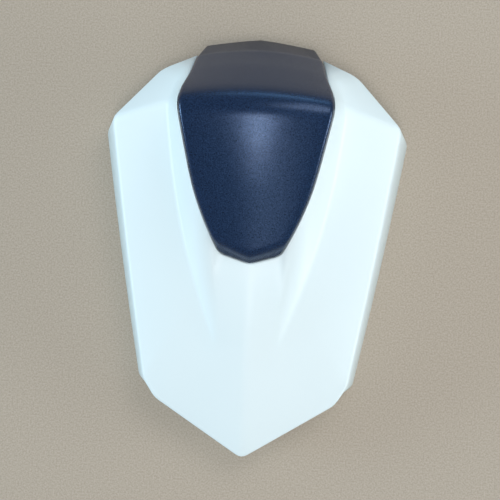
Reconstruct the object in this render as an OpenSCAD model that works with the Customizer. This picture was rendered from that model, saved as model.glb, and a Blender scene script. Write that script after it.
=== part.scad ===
// Rear seat cowl of a sports motorbike: a painted cover that takes the place of the
// passenger seat, with a dark textured centre insert, a moulded base and a latch striker.
// X runs to the right, Y forwards to the rider, Z up. The rim of the cover stands on Z = 0.

/* [Cover rim] */
// Half width of the cover at its front corners, where it is widest
rim_front_x = 110.3; // [98:0.1:122]
// Place of the front corners along the bike
rim_front_y = 83.6; // [74:0.1:94]
// Half width of the rim where the sides end and the tail begins
rim_rear_x = 78.2; // [68:0.1:88]
// How far the sides reach behind the middle
rim_rear_y = 96.5; // [82:0.5:98]
// Half width at the root of the tail, inboard of the clipped rear corner
tail_root_x = 64.2; // [54:0.1:68]
// How far the root of the tail lies behind the middle
tail_root_y = 107.6; // [101:0.1:114]
// How far the tail tip lies behind the middle
tail_tip_y = 149; // [134:0.5:162]
// Half width of the cover at the clipped corners of its front edge
brow_x = 70.3; // [60:0.1:78]
// Place of those clipped corners along the bike
brow_y = 127.3; // [116:0.1:134]
// Outward bow of the straight-looking sides
side_bow = 1; // [0:0.1:4]

/* [Cover heights] */
// Height of the side crease at the front corners
shoulder_z = 35; // [28:0.5:44]
// Height of the side crease where the sides end
haunch_z = 25.5; // [20:0.5:32]
// Height of the tail edge at its root
tail_root_z = 24.3; // [19:0.1:30]
// Height of the tail edge at the tip
tail_tip_z = 22; // [17:0.5:28]
// Height of the front edge at the clipped corners
brow_z = 15.5; // [12:0.5:22]
// Height of the wall under the front edge
brow_wall = 8; // [5:0.5:10]
// How far the side crease lies inboard of the rim at the front
draft_front = 9.5; // [6:0.5:15]
// How far the side crease lies inboard of the rim at the rear
draft_rear = 6.2; // [4:0.1:12]
// How far the wall under the tail tucks in beneath its edge
tail_tuck = 4; // [2:0.5:8]
// Height of the rim under the tail tip
tail_rim_z = 8; // [4:0.5:11]

/* [Hump] */
// Half width of the foot of the hump at the front shoulder
foot_x = 60.1; // [56:0.1:66]
// Place of the front shoulder of the hump along the bike
foot_y = 98.5; // [92:0.5:104]
// Height of the foot of the hump at the front shoulder
foot_z = 53; // [46:0.5:60]
// Outward bow of the foot of the hump in plan
foot_bow = 7.5; // [3:0.5:11]
// Half width of the raised spine behind the insert
spine_x = 21.8; // [17:0.1:26]
// How far the spine reaches behind the middle before it fades into the deck
spine_y = 67; // [55:0.5:80]
// Height of the spine's edges where they fade
spine_z = 38.5; // [36:0.5:43]
// Height of the centre line where the spine fades
spine_top_z = 42; // [39:0.5:46]
// Rise of the deck between the foot of the hump and the side crease
deck_crown = 1; // [0:0.25:3]

/* [Opening for the insert] */
// Half width of the opening at the ridge, the highest line of the hump
ridge_x = 51.2; // [44:0.2:54]
// Place of the ridge along the bike
ridge_y = 92; // [88:0.5:98]
// Height of the opening's edge at the ridge
ridge_z = 90.5; // [80:0.5:102]
// Outward bow of the opening's sides behind the ridge
opening_bow = 5.5; // [2:0.5:8]
// Half width of the opening at its rear corners
corner_x = 20.9; // [17:0.1:25]
// How far the opening's rear corners lie behind the middle
corner_y = 3.3; // [0:0.1:10]
// Height of the opening's rear corners
corner_z = 57.3; // [52:0.1:62]
// How far the pointed rear end of the opening reaches behind its corners
point_drop = 6.4; // [3:0.1:10]
// Height of the opening's pointed rear end
point_z = 57; // [52:0.5:61]
// Half width of the opening where it runs out of the front edge
mouth_x = 45.3; // [40:0.1:50]
// Place where the opening runs out of the front edge
mouth_y = 138.2; // [130:0.1:144]

/* [Walls and edges] */
// Wall thickness of the painted cover
cover_wall = 2.6; // [2.2:0.1:3.2]
// Depth of the recess that takes the insert
recess = 4.2; // [3:0.2:6]
// Width of the flange that the insert is screwed to
flange = 10; // [9:0.5:12]
// Rounding of the side crease and the tail edge
crease_r = 2.2; // [1.5:0.1:4]
// Rounding of the opening's edge
edge_r = 1.4; // [0.8:0.1:2]
// Hollow rounding at the foot of the hump
foot_r = 3; // [1.5:0.25:6]
// Rounding of the front corners in plan
corner_r = 6; // [4:0.5:9]
// Rounding of the two bends of each rear corner in plan
rear_r = 4; // [2.5:0.5:7]
// Rounding of the tail tip in plan
tip_r = 5; // [3:0.5:8]

/* [Insert] */
// How far the insert stands above the painted cover beside it
proud = 4; // [2:0.25:6]
// Gap between the insert and the edge of its opening
insert_gap = 0.9; // [0.5:0.1:1.6]
// Wall thickness of the insert
insert_wall = 2.4; // [2:0.1:3]
// Rise of the insert's crown above its edges
insert_crown = 5; // [2:0.25:8]
// Width of the bevel along the insert's side edges
bevel = 1.9; // [1:0.1:3]
// Half width of the insert's lower front edge
lip_x = 39.9; // [35:0.1:44]
// Place of the corners of the lower front edge along the bike
lip_y = 143.8; // [140:0.1:148]
// Height of the lower front edge
lip_z = 14; // [12:0.5:20]
// How far the lower front edge bows forwards in the middle
lip_bow = 6.5; // [3:0.5:9]
// How far the pointed lip at the rear of the insert trails behind its corners
chevron = 11.5; // [9:0.5:12]

/* [Base] */
// Height of the base plate's underside
base_z = 10; // [8:0.5:12]
// Thickness of the base plate
base_t = 2.8; // [2.2:0.1:3.2]
// Gap between the base plate and the cover's wall
base_gap = 1.2; // [0.8:0.1:2]
// Width of the base plate's outer frame
frame_w = 21; // [20:0.5:24]
// Half width of the base plate's keel, which carries the striker
keel_x = 26; // [25:0.5:29]
// Place of the base plate's front edge along the bike
base_front_y = 129; // [122:0.5:130]
// Width of the cross bar between the front window and the rear windows
bar_w = 20; // [14:1:26]
// Height of the stiffening ribs round the windows
rib_h = 5; // [3:0.5:6]
// Thickness of the stiffening ribs
rib_t = 2; // [1.6:0.1:2.6]
// Width of the two tongues that hook under the bike's seat bracket
tongue_w = 18; // [12:1:24]
// Distance of the tongues from the middle
tongue_x = 24; // [18:1:28]
// How far the tongues reach ahead of the base plate
tongue_l = 9; // [6:0.5:9.5]

/* [Latch striker] */
// Diameter of the striker's bent rod
striker_d = 7; // [6:0.5:8]
// Distance between the centres of the striker's legs
striker_w = 30; // [28:1:34]
// Bending radius of the rod, at its centre line
striker_bend = 8; // [7:0.5:9]
// Place of the striker behind the middle
striker_y = 56; // [52:1:60]
// Height of the centre of the striker's bar
striker_z = 6.5; // [5.5:0.5:8]
// Height of the ceiling that the striker's plate is bolted to
pocket_z = 27; // [25:0.5:29]
// Length of that pocket along the bike
pocket_l = 44; // [40:1:48]
// Thickness of the striker's plate
plate_t = 3; // [2:0.25:4]
// Distance of the striker's bolts from the ends of its plate
bolt_edge = 5.5; // [5:0.5:7]
// Diameter of the striker's bolts
bolt_d = 6; // [5:0.5:6]

/* [Fasteners and dampers] */
// Diameter of the screws that hold the base
screw_d = 4; // [3.5:0.1:4.2]
// Diameter of the bosses that they bite into
boss_d = 9; // [8:0.25:10]
// Diameter of the screws that hold the insert
insert_screw_d = 3; // [2.6:0.1:3.2]
// Diameter of the insert's bosses
insert_boss_d = 6.2; // [5.6:0.2:6.6]
// Diameter of the rubber dampers
damper_d = 17; // [14:0.5:18]
// Height of the rubber dampers under the base plate
damper_h = 6; // [4:0.5:7]
// Diameter of the dampers' necks, which pass through the base plate
damper_neck_d = 8; // [6:0.5:9]

/* [Hidden] */

paint = [0.90, 0.94, 0.95];
textured = [0.16, 0.19, 0.25];
black = [0.08, 0.08, 0.09];
zinc = [0.72, 0.72, 0.70];
rubber = [0.05, 0.05, 0.05];

// Corner steps of the smooth bends, the creases and the small edges
soft_steps = 3;
crease_steps = 4;
edge_steps = 2;

// Vector helpers
function unit(v) = v / max(norm(v), 0.000001);
function total(list) = [for (item = list) 1] * list;
function mix(a, b, f) = a + (b - a) * f;
// A point on the line from a to b, pushed aside by a parabola of height bow
function along(a, b, f, bow) = mix(a, b, f) + bow * 4 * f * (1 - f);
function mirrored(p) = [-p.x, p.y, p.z];

// One rounded corner of a line: a curve between two points set back by r
function bend(a, v, c, r, steps) =
    let(back_a = min(r, 0.48 * norm(a - v)),
        back_c = min(r, 0.48 * norm(c - v)),
        p = v + back_a * unit(a - v),
        q = v + back_c * unit(c - v))
    [for (s = [0:steps]) let(f = s / steps)
        (1 - f) * (1 - f) * p + 2 * f * (1 - f) * v + f * f * q];
function rounded(line, radii, steps) =
    let(last = len(line) - 1)
    [line[0],
     for (i = [1:last - 1]) each bend(line[i - 1], line[i], line[i + 1], radii[i], steps[i]),
     line[last]];

// A net is a list of columns, and a column a list of points. Its surface is rounded
// down each column first and then across the columns.
function rounded_net(net, row_r, row_steps, col_r, col_steps) =
    let(sections = [for (column = net) rounded(column, row_r, row_steps)],
        lines = [for (m = [0:len(sections[0]) - 1])
            rounded([for (section = sections) section[m]], col_r, col_steps)])
    [for (k = [0:len(lines[0]) - 1]) [for (line = lines) line[k]]];

// Outward normal of one field of a net
function field_normal(net, i, j) =
    unit(cross(net[i + 1][j + 1] - net[i][j], net[i][j + 1] - net[i + 1][j]));
// Solves rows * x = b for a 3 by 3 matrix
function solved(m, b) =
    (b[0] * cross(m[1], m[2]) + b[1] * cross(m[2], m[0]) + b[2] * cross(m[0], m[1]))
    / (m[0] * cross(m[1], m[2]));
// The place nearest to a point that lies a wall thickness under the planes, each given by
// its normal and a point on it, while it keeps in the planes whose normals are in ends
function under(point, planes, wall, ends) =
    let(all = concat([for (plane = planes) plane[0]], ends),
        slack = 0.01,
        rows = [for (r = [0:2]) [for (c = [0:2])
            total([for (n = all) n[r] * n[c]]) + (r == c ? slack : 0)]])
    point - solved(rows, total([for (plane = planes)
        plane[0] * (wall + plane[0] * (point - plane[1]))]));
// The fields of a net on both sides of column i, in the given rows, as planes through p
function fields_at(net, i, rows, p) =
    [for (a = [i - 1, i], b = rows)
        if (a >= 0 && a < len(net) - 1 && b >= 0 && b < len(net[0]) - 1) [field_normal(net, a, b), p]];

// Two point grids of one size, joined round their borders into a closed wall
module wall_between(outer, inner) {
    nu = len(outer);
    nv = len(outer[0]);
    count = nu * nv;
    function at(i, j) = i * nv + j;
    function quad(a, b, c, d) = [[a, b, c], [a, c, d]];
    faces = [
        for (i = [0:nu - 2], j = [0:nv - 2])
            each quad(at(i, j), at(i, j + 1), at(i + 1, j + 1), at(i + 1, j)),
        for (i = [0:nu - 2], j = [0:nv - 2])
            each quad(count + at(i, j), count + at(i + 1, j),
                      count + at(i + 1, j + 1), count + at(i, j + 1)),
        for (i = [0:nu - 2])
            each quad(at(i, 0), at(i + 1, 0), count + at(i + 1, 0), count + at(i, 0)),
        for (i = [0:nu - 2])
            each quad(at(i + 1, nv - 1), at(i, nv - 1),
                      count + at(i, nv - 1), count + at(i + 1, nv - 1)),
        for (j = [0:nv - 2])
            each quad(at(0, j + 1), at(0, j), count + at(0, j), count + at(0, j + 1)),
        for (j = [0:nv - 2])
            each quad(at(nu - 1, j), at(nu - 1, j + 1),
                      count + at(nu - 1, j + 1), count + at(nu - 1, j))
    ];
    polyhedron([for (column = outer) each column, for (column = inner) each column], faces, convexity = 8);
}

// Corner points of the cover's right half
rim_front = [rim_front_x, rim_front_y, 0];
rim_rear = [rim_rear_x, -rim_rear_y, 0];
crease_front = rim_front + [-draft_front, 0.53 * draft_front, shoulder_z];
crease_rear = rim_rear + [-draft_rear, 0.42 * draft_rear, haunch_z];
tail_root = [tail_root_x, -tail_root_y, tail_root_z];
tail_root_rim = [tail_root_x - 1, -tail_root_y + 1.5, 2];
tail_tip = [0, -tail_tip_y, tail_tip_z];
tail_tip_rim = [0, -tail_tip_y + tail_tuck, tail_rim_z];
brow = [brow_x, brow_y, brow_z];
brow_rim = brow - [0.4, 1.2, brow_wall];
mouth = [mouth_x, mouth_y, brow_z];
mouth_rim = mouth - [0, 1.2, brow_wall];
foot_front = [foot_x, foot_y, foot_z];
spine_end = [spine_x, -spine_y, spine_z];
spine_top = [0, -spine_y - 1, spine_top_z];
opening_corner = [corner_x, -corner_y, corner_z];
opening_point = [0, -corner_y - point_drop, point_z];
opening_ridge = [ridge_x, ridge_y, ridge_z];
opening_shoulder = opening_ridge + [-0.4, 11, -16.5];
opening_brow = mix(opening_shoulder, mouth, 0.4) + [-1.3, 0, 1.5];
opening_mouth = mix(opening_shoulder, mouth, 0.78) + [-0.6, 0, 1];

// Where the columns behind the ridge cross each long line, as shares of its length
opening_f = [0.52, 0.72, 0.81, 0.88, 0.94];
foot_f = [0.323, 0.571, 0.674, 0.776, 0.897];
side_f = [0.25, 0.49, 0.74];
function opening_at(f) = along(opening_ridge, opening_corner, f, [opening_bow, 0, 0]);
function foot_at(f) = along(foot_front, spine_end, f, [foot_bow, 0, -1]);
function crease_at(f) = along(crease_front, crease_rear, f, [side_bow, 0, 0]);
function rim_at(f) = along(rim_front, rim_rear, f, [side_bow, 0, 0]);
// A column of the deck from the opening's edge to the rim
function deck_column(edge, foot, crease, rim) =
    [edge, foot, mix(foot, crease, 0.5) + [0, 0, deck_crown], crease, rim];
function slope_column(edge, crease, rim) =
    [edge, mix(edge, crease, 0.33), mix(edge, crease, 0.66), crease, rim];
ridge_f = 0.052;
spine_root = mix(tail_tip, tail_root, 0.58);
spine_root_rim = mix(tail_tip_rim, tail_root_rim, 0.58);
half_cover = [
    slope_column(opening_mouth, mouth, mouth_rim),
    slope_column(opening_brow, brow, brow_rim),
    deck_column(opening_shoulder, foot_front, crease_front, rim_front),
    deck_column(opening_ridge, foot_at(ridge_f), crease_at(ridge_f), rim_at(ridge_f)),
    for (i = [0:2])
        deck_column(opening_at(opening_f[i]), foot_at(foot_f[i]), crease_at(side_f[i]), rim_at(side_f[i])),
    deck_column(opening_at(opening_f[3]), foot_at(foot_f[3]), crease_rear, rim_rear),
    deck_column(opening_at(opening_f[4]), foot_at(foot_f[4]), tail_root, tail_root_rim),
    deck_column(opening_corner, spine_end, spine_root, spine_root_rim),
    deck_column(opening_point, spine_top, tail_tip, tail_tip_rim)
];
half_n = len(half_cover);
spine_col = half_n - 2;

// Normals of the insert's surface beside the columns, square to the opening's edge seen
// from the side. Where the edge bends they are mitred, so that a recess of one depth follows it.
function side_normal(a, b) = unit([0, b.z - a.z, a.y - b.y]);
function mitred(n, m) = (n + m) / (1 + n * m);
function edge_normal(line, i) =
    let(last = len(line) - 1)
    mitred(side_normal(line[max(i - 1, 0)], line[max(i, 1)]),
        side_normal(line[min(i, last - 1)], line[min(i + 1, last)]));
half_edge = [for (column = half_cover) column[0]];
top_normal = side_normal(opening_ridge, opening_corner);
half_normals = [for (i = [0:half_n - 1])
    i < spine_col ? edge_normal([for (k = [0:spine_col]) half_edge[k]], i) : top_normal];

// The inward side of the opening's edge in plan, scaled for its corners
function plan_left(a, b) = unit([a.y - b.y, b.x - a.x, 0]);
function inward(line, i) =
    let(before = plan_left(line[max(i - 1, 0)], line[max(i, 1)]),
        after = plan_left(line[min(i, len(line) - 2)], line[min(i + 1, len(line) - 1)]))
    -(before + after) / (1 + before * after);
full_edge = concat(half_edge, [mirrored(half_edge[spine_col])]);
half_inward = [[-1, 0, 0], for (i = [1:half_n - 1]) inward(full_edge, i)];
// A step from the edge into the opening, kept square to the insert's normal
function step_in(i, w) =
    let(s = w * half_inward[i], n = half_normals[i]) s - [0, 0, (s * n) / n.z];

half_net = [for (i = [0:half_n - 1])
    let(foot = half_edge[i] - recess * half_normals[i])
    concat([foot + step_in(i, flange), foot], half_cover[i])];
function both_halves(half) =
    concat(half, [for (i = [len(half) - 2:-1:0]) [for (p = half[i]) mirrored(p)]]);
cover_net = both_halves(half_net);
cover_cols = len(cover_net);
cover_rows = len(cover_net[0]);
rim_row = cover_rows - 1;

// The inner skin keeps the rim level. At the mouth the flange ends square to its run, and
// below it the side of the opening goes on as the end of the wall.
edge_row = 2;
last_col = cover_cols - 1;
function end_face(net, i, j) =
    j > edge_row || (i > 0 && i < last_col) ? [] :
    [3 * unit(i == 0 ? net[1][j] - net[0][j] : net[i - 1][j] - net[i][j])];
function mouth_side(i, j) =
    j <= edge_row || (i > 0 && i < last_col) ? [] : [[[i == 0 ? -1 : 1, 0, 0], cover_net[i][j]]];
function under_cover(i, j) =
    under(cover_net[i][j], concat(mouth_side(i, j), fields_at(cover_net, i, [j - 1, j], cover_net[i][j])),
        cover_wall, concat(j == rim_row ? [[0, 0, 3]] : [], end_face(cover_net, i, j)));
// Where the hump falls away steeply beside the recess, the flange's underside runs
// straight into the hump's inner face
steep_limit = 0.72;
function is_steep(i) =
    i > 1 && i < last_col - 1
    && field_normal(cover_net, i, 0) * field_normal(cover_net, i, edge_row) < steep_limit
    && field_normal(cover_net, i - 1, 0) * field_normal(cover_net, i - 1, edge_row) < steep_limit;
function steep_corner(i) =
    under(cover_net[i][1], concat(fields_at(cover_net, i, [0], cover_net[i][1]),
        fields_at(cover_net, i, [edge_row], cover_net[i][edge_row])), cover_wall, []);
cover_inner_net = [for (i = [0:last_col]) [for (j = [0:cover_rows - 1])
    !is_steep(i) || j == 0 || j > edge_row ? under_cover(i, j)
    : j == 1 ? steep_corner(i) : mix(steep_corner(i), under_cover(i, edge_row + 1), 0.1)]];

// Rounding of the rows: flange end, recess foot, edge, hump foot, deck, crease, rim
soft = 1000;
row_r = [0, 1, edge_r, foot_r, soft, crease_r, 0];
row_inner_r = [0, 1, 0.4, foot_r + cover_wall, soft, max(crease_r - cover_wall, 0.8), 0];
row_steps = [0, edge_steps, edge_steps, soft_steps, soft_steps, crease_steps, 0];
// Rounding of the columns, from the mouth to the tail tip
half_r = [0, corner_r, corner_r * 0.75, 9, soft, soft, soft, rear_r, rear_r, 4, tip_r];
half_inner_r = [for (r = half_r) r == soft ? r : max(r - cover_wall, 1)];
half_steps = [0, 3, crease_steps, soft_steps, soft_steps, soft_steps, soft_steps, 3, 3, soft_steps, 4];
function both_ways(list) = concat(list, [for (i = [len(list) - 2:-1:0]) list[i]]);
cover_outer = rounded_net(cover_net, row_r, row_steps, both_ways(half_r), both_ways(half_steps));
cover_inner = rounded_net(cover_inner_net, row_inner_r, row_steps,
    both_ways(half_inner_r), both_ways(half_steps));

// Stations of the insert follow the rounded edge of the opening
edge_line = rounded(half_edge, half_r, half_steps);
// How many of its points lie before the rear corner of the opening
station_count = 27;
seat_gap = 0.4;
skirt = recess - seat_gap;

// Right half of a cross-section of the insert, from the foot of its skirt to the centre,
// for the outer skin (t = 0) or the inner one (t = insert_wall)
crown_shares = [0.8, 0.55, 0.28, 0];
function half_section(edge, n, crown, slide, power, t) =
    let(side = edge - [insert_gap + t, 0, 0],
        level = proud - t,
        width = t > 0 ? 0.8 : bevel,
        top = side - [width, 0, 0] + level * n,
        back = [0, -n.z, n.y],
        start = top - [0.5, 0, 0],
        shares = concat([start.x / top.x], crown_shares))
    concat([side - skirt * n,
            side + (level - 0.8 * width - 0.4) * n,
            side - [0.25, 0, 0] + (level - 0.8 * width + 0.1) * n,
            top + [0.3, 0, 0] - 0.15 * n],
        [for (a = shares) [a * top.x, top.y, top.z] + crown * (1 - pow(a, power)) * n
            + slide * (1 - pow(a, 1.2)) * back]);
function whole_section(half) =
    concat([for (i = [0:len(half) - 2]) mirrored(half[i])], [for (i = [len(half) - 1:-1:0]) half[i]]);
function station_share(p) = max(0, min(1, ((ridge_y - p.y) / (ridge_y + corner_y) - 0.45) / 0.45));
side_line = [for (i = [0:station_count]) edge_line[i]];
function station(i, t) =
    let(n = edge_normal(side_line, i), s = station_share(side_line[i]))
    half_section(side_line[i] + t * s * s * [0, n.z, -n.y], n, mix(insert_crown, 2, s),
        chevron * s * s, 2, t);

// The lower front edge, and the wall behind it
lip_normal = side_normal([0, lip_y, lip_z], half_edge[0]);
up_front = [0, -lip_normal.z, lip_normal.y];
lip_edge = [lip_x + insert_gap, lip_y, lip_z] - (proud - bevel) * lip_normal;
function lip_half(t) =
    half_section(lip_edge + t * up_front, lip_normal, insert_crown * 0.9, -lip_bow * 0.45, 1.25, t);
side_points = 5;
function lip_foot(t) =
    let(half = lip_half(t))
    [for (j = [0:len(half) - 1])
        let(p = half[j], level = p - ((p - lip_edge) * lip_normal + skirt) * lip_normal)
        [j < side_points ? half[0].x - 0.7 * (j + 1) : p.x, level.y, level.z]
        - (j == 0 ? 0.2 : 0) * lip_normal];

// The pointed wall at the rear, from the opening's edge down into the recess
corner_points = [28, 31, 33, 35, 37];
rear_skirt = skirt - 0.3;
corner_levels = [-rear_skirt, -0.5 * skirt, 0.3, 0.3, 0.3];
rear_rise = -top_normal.y / top_normal.z;
function rear_edge(t) =
    let(in = insert_gap + t, back = [0, in, in * rear_rise])
    concat([for (i = corner_points) edge_line[i] + 0.7 * back - [0.7 * in, 0, 0]],
        [for (a = crown_shares) mix(opening_point, edge_line[37] - [0.7 * in, 0, 0], a) + back]);
function rear_top(t) =
    let(edge = rear_edge(t))
    [for (i = [0:len(edge) - 1]) edge[i]
        + (i < side_points ? min(corner_levels[i], 0.3 - t / 2) : 0.3 - t / 2) * top_normal];
function rear_foot(t) =
    let(edge = rear_edge(t))
    [for (i = [0:len(edge) - 1]) i == 0 ? mix(edge[0], edge[1], 0.15) - (rear_skirt + 0.2) * top_normal
        : edge[i] - rear_skirt * top_normal];

function insert_skin(t) =
    [for (half = concat([lip_foot(t), lip_half(t)], [for (i = [0:station_count]) station(i, t)],
            [rear_top(t), rear_foot(t)]))
        whole_section(half)];

// All is drawn about the middle of the cover's corner points; this brings the middle of
// the finished length to Y = 0
tail_end = min([for (column = cover_outer) for (p = column) p.y]);
front_end = max([for (column = insert_skin(0)) for (p = column) p.y]);
middle_y = (tail_end + front_end) / 2;
module centred() {
    translate([0, -middle_y, 0]) children();
}

// Rotates what stands on Z so that it stands on n, which lies in the plane of Y and Z
module stand_on(p, n) {
    translate(p) rotate([-atan2(n.y, n.z), 0, 0]) children();
}

// Screw bosses under the deck. Each is a place in a field of the net: column, share
// towards the next column, row, share towards the next row.
boss_fields = [[3, 0, 4, 0.5], [5, 0, 4, 0.5], [7, 0, 4, 0.5]];
tail_boss_field = [half_n - 1, 0, 4, 0.25];
function field_point(f) =
    let(a = cover_net[f[0]], b = cover_net[f[0] + 1])
    mix(mix(a[f[2]], b[f[2]], f[1]), mix(a[f[2] + 1], b[f[2] + 1], f[1]), f[3]);
function field_slope(f) = field_normal(cover_net, f[0], f[2]);
right_bosses = [for (f = boss_fields) [field_point(f), field_slope(f)]];
tail_boss = [field_point(tail_boss_field), [0, -0.25, 1]];
bosses = concat(right_bosses, [for (b = right_bosses) [for (v = b) mirrored(v)]], [tail_boss]);
base_top = base_z + base_t;
boss_play = 0.3;
screw_reach = 9;
boss_reach = 60;

// A boss that rises from the base plate and ends in the middle of the deck's wall
module deck_boss(p, n) {
    level = p * n - 1.3 * (n * n) / norm(n);
    difference() {
        translate([p.x, p.y, base_top]) cylinder(d = boss_d, h = boss_reach, $fn = 32);
        translate([p.x, p.y, (level - p.x * n.x - p.y * n.y) / n.z])
            multmatrix(leaning(n))
            translate([-boss_reach / 2, -boss_reach / 2, 0]) cube(boss_reach);
    }
}
// A turned frame whose third axis is n
function leaning(n) =
    let(z = unit(n), x = unit(cross([0, 1, 0], z)), y = cross(z, x))
    [[x.x, y.x, z.x, 0], [x.y, y.y, z.y, 0], [x.z, y.z, z.z, 0], [0, 0, 0, 1]];

// Screws of the insert, through the flange beside the opening
flange_mid = flange * 0.62;
insert_screw_f = [0.33, 0.51, 0.69];
right_seats = concat(
    [for (f = insert_screw_f) [opening_at(f) - [flange_mid, 0, 0], top_normal]],
    [[mix(opening_brow, opening_mouth, 0.3) - [flange_mid, 0, 0],
        side_normal(opening_mouth, opening_brow)]]);
seats = concat(right_seats, [for (s = right_seats) [for (v = s) mirrored(v)]]);

module outer_shell() {
    color(paint) centred() difference() {
        union() {
            wall_between(cover_outer, cover_inner);
            for (b = bosses) deck_boss(b[0], b[1]);
        }
        for (b = bosses) translate([b[0].x, b[0].y, base_top - 1])
            cylinder(d = screw_d + boss_play, h = screw_reach + 2, $fn = 32);
        for (s = seats) stand_on(s[0], s[1]) translate([0, 0, -recess - cover_wall - 3])
            cylinder(d = insert_screw_d + 0.7, h = cover_wall + 5, $fn = 32);
    }
}

// The bosses reach below the skirt, so they bear on the flange and the skirt doesn't
insert_boss_top = proud - 1;
insert_boss_foot = skirt + 0.25;
module centre_insert() {
    color(textured) centred() difference() {
        union() {
            wall_between(insert_skin(0), insert_skin(insert_wall));
            for (s = seats) stand_on(s[0], s[1]) translate([0, 0, -insert_boss_foot])
                cylinder(d = insert_boss_d, h = insert_boss_foot + insert_boss_top, $fn = 32);
        }
        for (s = seats) stand_on(s[0], s[1]) translate([0, 0, -skirt - 1])
            cylinder(d = insert_screw_d + 0.3, h = skirt + insert_boss_top - 0.6, $fn = 32);
    }
}

// Outline of the base plate: the cover's wall at the plate's height, set in by its
// thickness and the gap
function wall_at(column, z) =
    let(a = column[3], b = column[4])
    mix(b, a, max(0, (z - b.z) / (a.z - b.z)));
base_outer = [for (i = [1:half_n - 1]) wall_at(half_cover[i], base_z)];
base_full = concat(base_outer, [mirrored(base_outer[len(base_outer) - 2])]);
function base_line(inset) = [for (i = [0:len(base_outer) - 1])
    let(p = base_outer[i] + inset * inward(base_full, i)) [p.x, p.y]];
function closed(half) =
    concat(half, [for (i = [len(half) - 1:-1:0]) if (half[i].x > 0.001) [-half[i].x, half[i].y]]);
// A closed outline with every corner rounded
function soft_outline(points, r) =
    let(n = len(points))
    [for (i = [0:n - 1]) each bend(points[(i + n - 1) % n], points[i], points[(i + 1) % n], r, 4)];

// Half width of the base plate's outline at a place along the bike
wall_inset = cover_wall + base_gap + 0.6;
plate_line = base_line(wall_inset);
function half_width(line, y) =
    let(hits = [for (i = [0:len(line) - 2])
        if (line[i].y >= y && line[i + 1].y < y)
            mix(line[i].x, line[i + 1].x, (line[i].y - y) / (line[i].y - line[i + 1].y))])
    hits[0];
bar_y = 30;
front_window_top = 108;
rear_window_end = -78;
front_window = let(y0 = bar_y + bar_w / 2, y1 = 80, y2 = front_window_top)
    closed([[half_width(plate_line, y2) - frame_w, y2], [half_width(plate_line, y1) - frame_w, y1],
        [half_width(plate_line, y0) - frame_w, y0]]);
rear_window = let(y0 = bar_y - bar_w / 2, y1 = rear_window_end)
    [[keel_x + 6, y0], [half_width(plate_line, y0) - frame_w, y0],
     [half_width(plate_line, y1) - frame_w, y1], [keel_x + 6, y1]];
window_r = 8;

module window_outlines(grow) {
    polygon(soft_outline(grown(front_window, grow), window_r));
    polygon(soft_outline(grown(rear_window, grow), window_r));
    polygon(soft_outline([for (p = grown(rear_window, grow)) [-p.x, p.y]], window_r));
}
// A convex outline with its corners moved outwards along both their sides
function grown(points, grow) =
    let(n = len(points), mid = total(points) / n)
    [for (i = [0:n - 1])
        let(p = points[i], a = plan_left(points[(i + n - 1) % n], p), b = plan_left(p, points[(i + 1) % n]),
            m = (a + b) / (1 + a * b), out = ([m.x, m.y] * (p - mid)) > 0 ? 1 : -1)
        p + grow * out * [m.x, m.y]];

pocket_wall = 2.6;
pocket_top = pocket_z + base_t;
plate_gap = 1.4;
plate_side = 6;
plate_w = striker_w + 2 * plate_side;
plate_l = pocket_l - 2 * (pocket_wall + plate_gap);
bolt_pitch = plate_l - 2 * bolt_edge;
damper_sites = [[1, 56], [1, -52]];
function damper_place(side, y) = [side * (half_width(plate_line, y) - frame_w / 2), y];

// Farther out than any part of the cover
far = 200;
module plate_outline() {
    intersection() {
        polygon(soft_outline(closed(plate_line), 5));
        translate([-far, -far]) square([2 * far, far + base_front_y]);
    }
}

module base_frame() {
    color(black) centred() difference() {
        union() {
            translate([0, 0, base_z]) linear_extrude(base_t) difference() {
                plate_outline();
                window_outlines(0);
            }
            translate([0, 0, base_top - 0.01]) linear_extrude(rib_h) difference() {
                window_outlines(rib_t);
                window_outlines(0);
            }
            translate([-keel_x, -striker_y - pocket_l / 2, base_z])
                cube([2 * keel_x, pocket_l, pocket_top - base_z]);
            for (side = [-1, 1]) tongue(side);
        }
        translate([-keel_x + pocket_wall, -striker_y - pocket_l / 2 + pocket_wall, base_z - 1])
            cube([2 * (keel_x - pocket_wall), pocket_l - 2 * pocket_wall, pocket_z - base_z + 1]);
        for (s = [-1, 1]) translate([0, -striker_y + s * bolt_pitch / 2, pocket_z - 1])
            cylinder(d = bolt_d + 0.6, h = base_t + 2, $fn = 32);
        for (b = bosses) translate([b[0].x, b[0].y, base_z - 1])
            cylinder(d = screw_d + 0.6, h = base_t + 2, $fn = 32);
        for (site = damper_sites, side = [-1, 1]) translate(damper_place(side, site[1]))
            translate([0, 0, base_z - 1]) cylinder(d = damper_neck_d + 0.4, h = base_t + 2, $fn = 32);
    }
}
tongue_t = 3.4;
tongue_drop = 5;
module tongue(side) {
    translate([side * tongue_x - tongue_w / 2, base_front_y - 8, base_z - tongue_drop])
        cube([tongue_w, 8, tongue_drop + base_t]);
    translate([side * tongue_x - tongue_w / 2, base_front_y - 8, base_z - tongue_drop])
        cube([tongue_w, 8 + tongue_l, tongue_t]);
}

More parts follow.
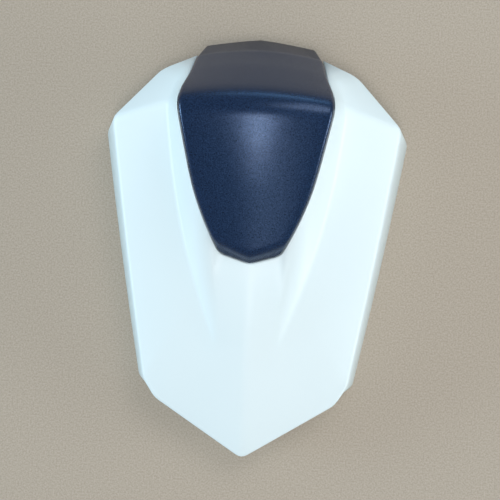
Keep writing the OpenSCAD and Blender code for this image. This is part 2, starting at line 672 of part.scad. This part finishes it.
module latch_striker() {
    plate_z = pocket_z - plate_t;
    bend_z = striker_z + striker_bend;
    color(zinc) centred() translate([0, -striker_y, 0]) {
        difference() {
            translate([-plate_w / 2, -plate_l / 2, plate_z]) cube([plate_w, plate_l, plate_t]);
            for (s = [-1, 1]) translate([0, s * bolt_pitch / 2, plate_z - 1])
                cylinder(d = bolt_d + 0.5, h = plate_t + 2, $fn = 32);
        }
        for (s = [-1, 1]) translate([s * striker_w / 2, 0, bend_z])
            cylinder(d = striker_d, h = plate_z - bend_z + 0.5, $fn = 32);
        for (s = [-1, 1]) translate([s * (striker_w / 2 - striker_bend), 0, bend_z])
            rotate([-90, 0, 0]) rotate(s > 0 ? 0 : 90) rotate_extrude(angle = 90, $fn = 48)
                translate([striker_bend, 0]) circle(d = striker_d, $fn = 32);
        translate([-striker_w / 2 + striker_bend, 0, striker_z]) rotate([0, 90, 0])
            cylinder(d = striker_d, h = striker_w - 2 * striker_bend, $fn = 32);
    }
}

bolt_head_h = 4;
nut_h = 5;
module striker_bolts() {
    color(zinc) centred() for (s = [-1, 1])
        translate([0, -striker_y + s * bolt_pitch / 2, pocket_z - plate_t]) {
        translate([0, 0, -bolt_head_h]) cylinder(d = bolt_d * 1.85, h = bolt_head_h, $fn = 6);
        cylinder(d = bolt_d, h = plate_t + base_t + nut_h + 1.5, $fn = 32);
    }
}
module striker_nuts() {
    color(zinc) centred() for (s = [-1, 1])
        translate([0, -striker_y + s * bolt_pitch / 2, pocket_top]) difference() {
        cylinder(d = bolt_d * 1.85, h = nut_h, $fn = 6);
        translate([0, 0, -1]) cylinder(d = bolt_d + 0.2, h = nut_h + 2, $fn = 32);
    }
}

module base_screws() {
    color(zinc) centred() for (b = bosses) translate([b[0].x, b[0].y, base_z])
        pan_screw(screw_d, base_t + screw_reach - 1);
}
module insert_screws() {
    color(zinc) centred() for (s = seats)
        stand_on(s[0], s[1]) translate([0, 0, -recess - cover_wall - 0.25])
            pan_screw(insert_screw_d, cover_wall + recess + insert_boss_top - 2);
}
// A screw with its head under Z = 0 and its shank above, drawn in one turn
module pan_screw(d, l) {
    rotate_extrude($fn = 32) polygon([[0, -0.6 * d], [0.6 * d, -0.6 * d], [0.95 * d, -0.35 * d],
        [d, 0], [d / 2, 0], [d / 2, l - d / 2], [0.15 * d, l], [0, l]]);
}

// A press-in damper: a pad under the plate, a neck through it and a barb above it
module damper(side, site) {
    lip = 1.2;
    color(rubber) centred() translate(damper_place(side, site[1])) translate([0, 0, base_z])
        rotate_extrude($fn = 48) polygon([[0, -damper_h], [damper_d / 2 - 1.5, -damper_h],
            [damper_d / 2, -damper_h + 1.5], [damper_d / 2, 0], [damper_neck_d / 2, 0],
            [damper_neck_d / 2, base_t], [damper_neck_d / 2 + lip, base_t],
            [damper_neck_d / 2 + 0.2, base_t + 2.5], [0, base_t + 3.5]]);
}
module damper_front_right() { damper(1, damper_sites[0]); }
module damper_front_left() { damper(-1, damper_sites[0]); }
module damper_rear_right() { damper(1, damper_sites[1]); }
module damper_rear_left() { damper(-1, damper_sites[1]); }

outer_shell();
centre_insert();
base_frame();
latch_striker();
striker_bolts();
striker_nuts();
base_screws();
insert_screws();
damper_front_right();
damper_front_left();
damper_rear_right();
damper_rear_left();
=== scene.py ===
# %% [markdown]
# # A seat cowl for a sports motorbike
# This lesson dresses a finished set of solids: a white painted cover, the dark textured
# insert that runs up its middle, and the plain parts under them.

from math import cos, radians, sin

import bmesh
import bpy
from mathutils import Matrix, Vector
from mathutils.bvhtree import BVHTree


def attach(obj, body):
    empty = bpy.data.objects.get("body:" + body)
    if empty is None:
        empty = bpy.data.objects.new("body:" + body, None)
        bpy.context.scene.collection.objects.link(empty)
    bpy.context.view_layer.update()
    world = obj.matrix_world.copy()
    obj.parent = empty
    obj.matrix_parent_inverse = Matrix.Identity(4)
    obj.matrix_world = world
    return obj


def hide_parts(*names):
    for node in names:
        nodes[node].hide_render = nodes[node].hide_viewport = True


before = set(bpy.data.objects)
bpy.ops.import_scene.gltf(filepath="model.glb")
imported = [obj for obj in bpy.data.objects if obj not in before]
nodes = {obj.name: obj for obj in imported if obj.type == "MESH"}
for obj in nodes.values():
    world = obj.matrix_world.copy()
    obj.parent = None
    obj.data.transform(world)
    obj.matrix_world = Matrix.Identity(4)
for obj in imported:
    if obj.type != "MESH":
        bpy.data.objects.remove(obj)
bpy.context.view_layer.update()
print("solids:", ", ".join(sorted(nodes)))

# %% [markdown]
# ## The camera
# The cowl lies on a table and is photographed from straight above, about 0.7 m up. The
# camera stands a little to the right of the cowl's middle and leans back to it, and the
# cowl lies turned a few degrees clockwise. We could type in a rotation, but it is clearer to
# build the camera's three axes from where it stands, what it looks at and which way is up.

# %% Set up the camera
camera_place = Vector((0.0135, -0.0017, 0.70))
camera_target = Vector((-0.0012, -0.0017, 0.0))
camera_roll = radians(2.72)
lens_mm, sensor_mm = 68.7, 36

camera_data = bpy.data.cameras.new("camera")
camera_data.lens = lens_mm
camera_data.sensor_width = sensor_mm
camera = bpy.data.objects.new("camera", camera_data)
bpy.context.scene.collection.objects.link(camera)
backwards = (camera_place - camera_target).normalized()
rightwards = Vector((-sin(camera_roll), cos(camera_roll), 0)).cross(backwards).normalized()
upwards = backwards.cross(rightwards)
turned = Matrix((rightwards, upwards, backwards)).transposed().to_4x4()
camera.matrix_world = Matrix.Translation(camera_place) @ turned
bpy.context.scene.camera = camera
print("camera height in metres:", round(camera_place.z, 3))

# %% [markdown]
# ## The windows
# Three small soft windows do the drawing. The long roof window and the one behind it decide
# where the satin insert shines: it slopes down to the rear, so they run as one soft stripe
# down its middle, which fades towards the tail. The side window, ahead and to the right,
# lays the soft shadow on the table to the lower left.

# %% Hang the windows
WHITE = (1.0, 1.0, 1.0)


def soft_light(name, place, size, watts, colour=WHITE, spread=180):
    data = bpy.data.lights.new(name, "AREA")
    data.shape = "RECTANGLE"
    data.size, data.size_y = size
    data.energy = watts
    data.color = colour
    data.spread = radians(spread)
    lamp = bpy.data.objects.new(name, data)
    bpy.context.scene.collection.objects.link(lamp)
    aim = (-Vector(place)).to_track_quat("-Z", "Y")
    lamp.matrix_world = Matrix.Translation(place) @ aim.to_matrix().to_4x4()
    return lamp


soft_light("roof_window", place=(0.01, -0.33, 1.45), size=(0.12, 0.9), watts=7.2)
soft_light("rear_window", place=(0.30, -1.15, 1.45), size=(0.60, 0.7), watts=1.6)
soft_light("side_window", place=(0.50, 0.75, 0.95), size=(0.6, 0.6), watts=3.6)

# %% [markdown]
# ## The panels and the sky
# About half of the light is a pale, even sky, so there is no hard shadow anywhere. Three
# low panels fill the steep outer sides, which the sky alone would leave grey. We give them a
# narrow spread, as a photographer's grid would, so that they don't leave a hot patch on the
# table in front of them. The left and the front panel are bluer than the right one. All of
# it stays at a plain level, at which a colour renders about as we write it.

# %% Set up the panels and the sky
panel_size = (1.6, 0.3)
panel_spread = 60
sky_colour = (0.85, 0.94, 1.0, 1)
sky_strength = 0.42

soft_light("left_panel", (-2.0, 0.0, 0.4), panel_size, 4.0, (0.62, 0.85, 1.0), panel_spread)
soft_light("right_panel", (2.0, -0.3, 0.4), panel_size, 3.1, (0.88, 0.96, 1.0), panel_spread)
soft_light("front_panel", (0.3, 2.0, 0.4), panel_size, 0.6, (0.40, 0.74, 1.0), panel_spread)

world = bpy.data.worlds.new("pale_sky")
bpy.context.scene.world = world
world.use_nodes = True
sky = world.node_tree.nodes["Background"]
sky.inputs["Color"].default_value = sky_colour
sky.inputs["Strength"].default_value = sky_strength
bpy.context.scene.view_settings.view_transform = "Standard"

# %% [markdown]
# ## Adding nodes
# Every finish here is one Principled BSDF fed by a few nodes. The first helper adds a node
# and wires its inputs in one go, so that each recipe stays short enough to read. The others
# add the nodes that come back most: a mix of two colours, a stretch of one range of values
# to another, and a bump. A Mix node has its own sockets for numbers and for colours under
# the same names, so we pick those by their place in the row.

# %% Define how nodes are added
NUMBER_A, NUMBER_B, NUMBER_OUT = 2, 3, 0
COLOUR_A, COLOUR_B, COLOUR_OUT = 6, 7, 2


def add_node(tree, kind, inputs=None, **settings):
    made = tree.nodes.new(kind)
    for key, value in settings.items():
        setattr(made, key, value)
    for key, value in (inputs or {}).items():
        if isinstance(value, bpy.types.NodeSocket):
            tree.links.new(value, made.inputs[key])
        else:
            made.inputs[key].default_value = value
    return made


def mix_colours(tree, factor, first, second, blend="MIX"):
    made = add_node(tree, "ShaderNodeMix",
                    {"Factor": factor, COLOUR_A: first, COLOUR_B: second},
                    data_type="RGBA", blend_type=blend)
    return made.outputs[COLOUR_OUT]


def stretch(tree, value, old, new):
    made = add_node(tree, "ShaderNodeMapRange",
                    {"Value": value, "From Min": old[0], "From Max": old[1],
                     "To Min": new[0], "To Max": new[1]})
    return made.outputs["Result"]


def add_bump(tree, shader, height, strength, depth):
    bump = add_node(tree, "ShaderNodeBump",
                    {"Height": height, "Strength": strength, "Distance": depth})
    tree.links.new(bump.outputs["Normal"], shader.inputs["Normal"])


print("a Mix node's colour sockets:", COLOUR_A, COLOUR_B)

# %% [markdown]
# ## Starting materials and groups
# An effect that several finishes share, such as grain, is a node group with named inputs.
# These helpers start a material, start a group, and place a group in a material with its
# own values.

# %% Define how materials and groups are started
def new_material(name, **plain):
    made = bpy.data.materials.new(name)
    made.use_nodes = True
    shader = made.node_tree.nodes["Principled BSDF"]
    for key, value in plain.items():
        shader.inputs[key.replace("_", " ")].default_value = value
    return made, made.node_tree, shader


def new_group(name, inputs, outputs):
    group = bpy.data.node_groups.new(name, "ShaderNodeTree")
    for label, kind, value in inputs:
        socket = group.interface.new_socket(label, in_out="INPUT", socket_type=kind)
        socket.default_value = value
    for label, kind in outputs:
        group.interface.new_socket(label, in_out="OUTPUT", socket_type=kind)
    return group, group.nodes.new("NodeGroupInput"), group.nodes.new("NodeGroupOutput")


def use_group(tree, group, **values):
    made = tree.nodes.new("ShaderNodeGroup")
    made.node_tree = group
    for key, value in values.items():
        made.inputs[key.replace("_", " ")].default_value = value
    return made


print("materials so far:", len(bpy.data.materials))

# %% [markdown]
# ## The grain of moulded plastic
# Moulded plastic has a fine grain, pressed into it by an etched mould. It could be one
# noise, but real grain has small rounded islands with finer dust on them, so the group
# mixes cells with noise. It reads Object coordinates, in metres, and a pattern's scale is
# one over its size, so a grain size in it is a real size. It gives a height for the bump
# and a speckle for the colour and the shine.

# %% Make the grain
FLOAT, COLOUR = "NodeSocketFloat", "NodeSocketColor"


def place_and_density(group, size):
    place = add_node(group, "ShaderNodeTexCoord").outputs["Object"]
    density = add_node(group, "ShaderNodeMath", {0: 1.0, 1: size}, operation="DIVIDE")
    return {"Vector": place, "Scale": density.outputs[0]}


grain_group, grain_in, grain_out = new_group(
    "moulded_grain", [("Grain Size", FLOAT, 0.0007), ("Islands", FLOAT, 0.5)],
    [("Height", FLOAT), ("Speckle", FLOAT)])
pattern = place_and_density(grain_group, grain_in.outputs["Grain Size"])
cells = add_node(grain_group, "ShaderNodeTexVoronoi", pattern)
dust = add_node(grain_group, "ShaderNodeTexNoise", {**pattern, "Detail": 3.0})
height = add_node(grain_group, "ShaderNodeMix",
                  {"Factor": grain_in.outputs["Islands"],
                   NUMBER_A: dust.outputs["Fac"], NUMBER_B: cells.outputs["Distance"]})
grain_group.links.new(height.outputs[NUMBER_OUT], grain_out.inputs["Height"])
fleck = add_node(grain_group, "ShaderNodeTexNoise", {**pattern, "Detail": 2.0})
grain_group.links.new(fleck.outputs["Fac"], grain_out.inputs["Speckle"])
print("grain group sockets:", [s.name for s in grain_group.interface.items_tree])

# %% [markdown]
# ## A slow drift of tone
# No large surface has quite one colour: paint lies a little thicker here, plastic cooled a
# little slower there. The second group drifts between two near colours over patches of a
# given size, which keeps a plain colour from looking like paper. A noise seldom leaves its
# middle range, so we stretch that range to the whole way from one colour to the other.

# %% Make the drift
NOISE_RANGE = (0.3, 0.7)

tone_group, tone_in, tone_out = new_group(
    "slow_tone",
    [("Patch Size", FLOAT, 0.08), ("Darker", COLOUR, (0.5, 0.5, 0.5, 1)),
     ("Lighter", COLOUR, (0.6, 0.6, 0.6, 1))],
    [("Colour", COLOUR), ("Mask", FLOAT)])
pattern = place_and_density(tone_group, tone_in.outputs["Patch Size"])
patches = add_node(tone_group, "ShaderNodeTexNoise", {**pattern, "Detail": 2.0})
mask = stretch(tone_group, patches.outputs["Fac"], NOISE_RANGE, (0.0, 1.0))
drift = mix_colours(tone_group, mask, tone_in.outputs["Darker"], tone_in.outputs["Lighter"])
tone_group.links.new(drift, tone_out.inputs["Colour"])
tone_group.links.new(mask, tone_out.inputs["Mask"])
print("drift group sockets:", [s.name for s in tone_group.interface.items_tree])

# %% [markdown]
# ## The paint
# The cover is sprayed with a cool white under clear lacquer. The lacquer is never quite
# flat: it dries with a very shallow orange peel, a few millimetres from crest to crest.

# %% Make the paint
paint, tree, shader = new_material("white_lacquer", Roughness=0.45, Specular_IOR_Level=0.25,
                                   Coat_Weight=0.15, Coat_Roughness=0.2)
tone = use_group(tree, tone_group, Patch_Size=0.11, Darker=(0.735, 0.832, 0.852, 1),
                 Lighter=(0.750, 0.846, 0.866, 1))
tree.links.new(tone.outputs["Colour"], shader.inputs["Base Color"])
peel = use_group(tree, grain_group, Grain_Size=0.0022, Islands=0.0)
add_bump(tree, shader, peel.outputs["Height"], strength=0.05, depth=0.0001)
print("paint:", paint.name)

# %% [markdown]
# ## Grained plastic
# The insert, the base, the dampers and the bare inside of the cover share one recipe with
# different values. The speckle of the grain sets the colour and the weight of a thin coat,
# because the tips of a moulded grain are paler than its valleys and are rubbed to a shine.
# Specular level and tint are the same all over, so they sit on the shader's own sockets.

# %% Define the grained plastic
GRAIN_ISLANDS = 0.55
GRAIN_STRENGTH = 0.6
VALLEY_AND_TIP = (0.4, 1.6)
RUBBED_RANGE = (0.35, 0.65)


def grained_plastic(name, darker, lighter, roughness, specular, shine, grain, depth, patch,
                    tint=(1, 1, 1, 1)):
    made, tree, shader = new_material(name, Roughness=roughness, Specular_IOR_Level=specular,
                                      Specular_Tint=tint, Coat_Roughness=roughness)
    tone = use_group(tree, tone_group, Patch_Size=patch, Darker=darker, Lighter=lighter)
    skin = use_group(tree, grain_group, Grain_Size=grain, Islands=GRAIN_ISLANDS)
    speckle = skin.outputs["Speckle"]
    shade = stretch(tree, speckle, NOISE_RANGE, VALLEY_AND_TIP)
    flecked = mix_colours(tree, 1.0, tone.outputs["Colour"], shade, "MULTIPLY")
    tree.links.new(flecked, shader.inputs["Base Color"])
    rubbed = stretch(tree, speckle, RUBBED_RANGE, (0.0, shine))
    tree.links.new(rubbed, shader.inputs["Coat Weight"])
    add_bump(tree, shader, skin.outputs["Height"], GRAIN_STRENGTH, depth)
    return made


print("greatest and least shade of a grain:", max(VALLEY_AND_TIP), min(VALLEY_AND_TIP))

# %% [markdown]
# ## The insert, the base, the dampers and the bare moulding
# The insert is a dark blue-grey, satin enough to catch the window, and its grain is coarse
# enough to see. A dark plastic shows the sky mostly as a veil, so the insert's reflection is
# tinted blue to keep that veil from turning grey. The base is plain black with a finer
# grain, and rubber is the dullest. Inside, the cover has no paint: it is the same white
# plastic without lacquer, so it is dull.

# %% Make the plastics and the rubber
insert_plastic = grained_plastic(
    "dark_grained_plastic", darker=(0.004, 0.014, 0.042, 1), lighter=(0.005, 0.017, 0.049, 1),
    roughness=0.26, specular=0.53, shine=0.35, grain=0.0008, depth=0.0001, patch=0.09,
    tint=(0.36, 0.56, 1.0, 1))
base_plastic = grained_plastic(
    "black_moulded_plastic", darker=(0.012, 0.012, 0.013, 1), lighter=(0.018, 0.018, 0.019, 1),
    roughness=0.55, specular=0.35, shine=0.2, grain=0.0006, depth=0.00005, patch=0.09)
rubber = grained_plastic(
    "damper_rubber", darker=(0.010, 0.010, 0.010, 1), lighter=(0.016, 0.016, 0.015, 1),
    roughness=0.8, specular=0.28, shine=0.05, grain=0.0004, depth=0.00004, patch=0.01)
bare = grained_plastic(
    "bare_white_moulding", darker=(0.56, 0.60, 0.61, 1), lighter=(0.60, 0.64, 0.65, 1),
    roughness=0.6, specular=0.35, shine=0.1, grain=0.0006, depth=0.00003, patch=0.06)
print("plastics:", insert_plastic.name, base_plastic.name, rubber.name, bare.name)

# %% [markdown]
# ## Zinc plate
# The striker and the fasteners are zinc plated steel. Its shine changes from patch to patch
# where the plating is thicker, so the mask of the drift sets its roughness and the drift
# itself its colour.

# %% Make the zinc plate
zinc, tree, shader = new_material("zinc_plate", Metallic=1.0)
tone = use_group(tree, tone_group, Patch_Size=0.006, Darker=(0.46, 0.46, 0.44, 1),
                 Lighter=(0.62, 0.62, 0.59, 1))
tree.links.new(tone.outputs["Colour"], shader.inputs["Base Color"])
dull = stretch(tree, tone.outputs["Mask"], (0.0, 1.0), (0.28, 0.42))
tree.links.new(dull, shader.inputs["Roughness"])
print("finishes:", [m.name for m in bpy.data.materials if m.use_nodes])

# %% [markdown]
# ## Smooth skins
# The solids arrive as loose triangles, so each would shade as a flat facet. We copy each
# mesh, merge the corners that lie on each other and shade it smooth, keeping the edges that
# are really sharp. The form is the solid's own, corner for corner.

# %% Define how a solid becomes a smooth skin
SAME_CORNER = 0.00001
PLAIN_EDGE, MOULDED_EDGE, NUT_EDGE = 35, 50, 20


def smooth_skin(node, name, finishes, sharp_angle=PLAIN_EDGE, which=None):
    mesh = bpy.data.meshes.new(name)
    shape = bmesh.new()
    shape.from_mesh(nodes[node].data)
    bmesh.ops.remove_doubles(shape, verts=shape.verts, dist=SAME_CORNER)
    tree = BVHTree.FromBMesh(shape)
    for face in shape.faces:
        face.smooth = True
        face.material_index = which(face, tree) if which else 0
    shape.to_mesh(mesh)
    shape.free()
    mesh.set_sharp_from_angle(angle=radians(sharp_angle))
    mesh.materials.clear()
    for finish in finishes:
        mesh.materials.append(finish)
    made = bpy.data.objects.new(name, mesh)
    bpy.context.scene.collection.objects.link(made)
    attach(made, "root")
    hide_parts(node)
    print(name, "has", len(mesh.polygons), "faces")
    return made


# %% [markdown]
# ## The cover and the insert
# The paint gun only reaches the outside of the cover. A face belongs to the inside when
# the cover itself is overhead: we send a ray straight up from just off each face, and what
# meets the cover again stays bare.

# %% Dress the cover and the insert
STRAIGHT_UP = Vector((0, 0, 1))
CLEARANCE = 0.00005
PAINTED, BARE = 0, 1


def painted_or_bare(face, tree):
    start = face.calc_center_median() + CLEARANCE * face.normal
    overhead = tree.ray_cast(start, STRAIGHT_UP)[0]
    return PAINTED if overhead is None else BARE


cover = smooth_skin("outer_shell", "painted_cover", [paint, bare], MOULDED_EDGE,
                    painted_or_bare)
painted = sum(1 for face in cover.data.polygons if face.material_index == PAINTED)
print("painted faces:", painted)
smooth_skin("centre_insert", "grained_insert", [insert_plastic],
            MOULDED_EDGE)

# %% [markdown]
# ## The parts underneath
# The base, the striker with its bolts and nuts, the screws and the four dampers are plain
# parts. They take the same smooth skins, so that a round head or a rolled bar shows no
# flats. The nuts keep more of their edges, because a nut's flats are real.

# %% Dress the parts underneath
smooth_skin("base_frame", "moulded_base", [base_plastic])
smooth_skin("latch_striker", "plated_striker", [zinc])
smooth_skin("striker_bolts", "plated_striker_bolts", [zinc])
smooth_skin("striker_nuts", "plated_striker_nuts", [zinc], NUT_EDGE)
smooth_skin("base_screws", "plated_base_screws", [zinc])
smooth_skin("insert_screws", "plated_insert_screws", [zinc])
for end in ("front", "rear"):
    for side in ("right", "left"):
        smooth_skin(f"damper_{end}_{side}", f"rubber_damper_{end}_{side}", [rubber])

# %% [markdown]
# ## The table
# The cowl lies on a plain pale tan table top, mottled as fine card is. It isn't part of the
# object, so it is not attached to the cowl's body.

# %% Make the table top
table_reach = 3.0

table_mesh = bpy.data.meshes.new("table_top")
shape = bmesh.new()
bmesh.ops.create_grid(shape, x_segments=1, y_segments=1, size=table_reach)
shape.to_mesh(table_mesh)
shape.free()
table = bpy.data.objects.new("table_top", table_mesh)
bpy.context.scene.collection.objects.link(table)
card, tree, shader = new_material("pale_card", Roughness=0.8, Specular_IOR_Level=0.2)
tone = use_group(tree, tone_group, Patch_Size=0.0012, Darker=(0.380, 0.323, 0.258, 1),
                 Lighter=(0.500, 0.430, 0.353, 1))
tree.links.new(tone.outputs["Colour"], shader.inputs["Base Color"])
table_mesh.materials.append(card)
print("table side in metres:", round(table.dimensions.x, 2))
